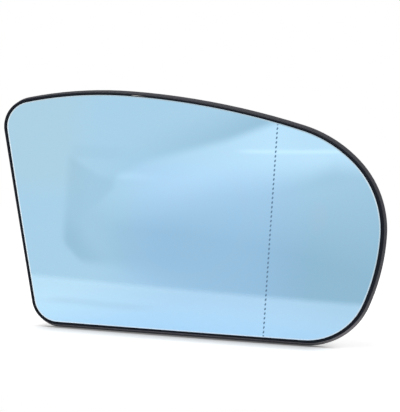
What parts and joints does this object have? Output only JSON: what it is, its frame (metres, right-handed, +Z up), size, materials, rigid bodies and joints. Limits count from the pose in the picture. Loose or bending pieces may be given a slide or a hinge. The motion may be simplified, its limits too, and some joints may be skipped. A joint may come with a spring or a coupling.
{
  "type": "car door mirror glass",
  "caption": "Right-hand blue-tinted convex door mirror glass with a dotted aspheric zone, in a black clip-on backing plate with a claw ring and heater terminals.",
  "frame": {"origin": "middle of the flat seat on the back of the plate, on the claw ring's axis", "axes": "+X away from the car, +Y back into the mirror housing so that the glass faces -Y, +Z up"},
  "size_m": [0.1861, 0.0144, 0.1148],
  "materials": {
    "tinted_mirror": "blue-tinted mirror, polished",
    "heater_foil": "matt printed foil",
    "black_plastic": "satin, finely grained",
    "spring_steel": "drawn wire",
    "tinned_brass": "tinned, satin",
    "rivet_brass": "satin"
  },
  "bodies": {
    "root": {"mirror_glass": "tinted_mirror", "heater_pad": "heater_foil", "backing_plate": "black_plastic", "retaining_spring": "spring_steel", "upper_terminal": "tinned_brass", "lower_terminal": "tinned_brass", "terminal_rivets": "rivet_brass"}
  },
  "joints": []
}
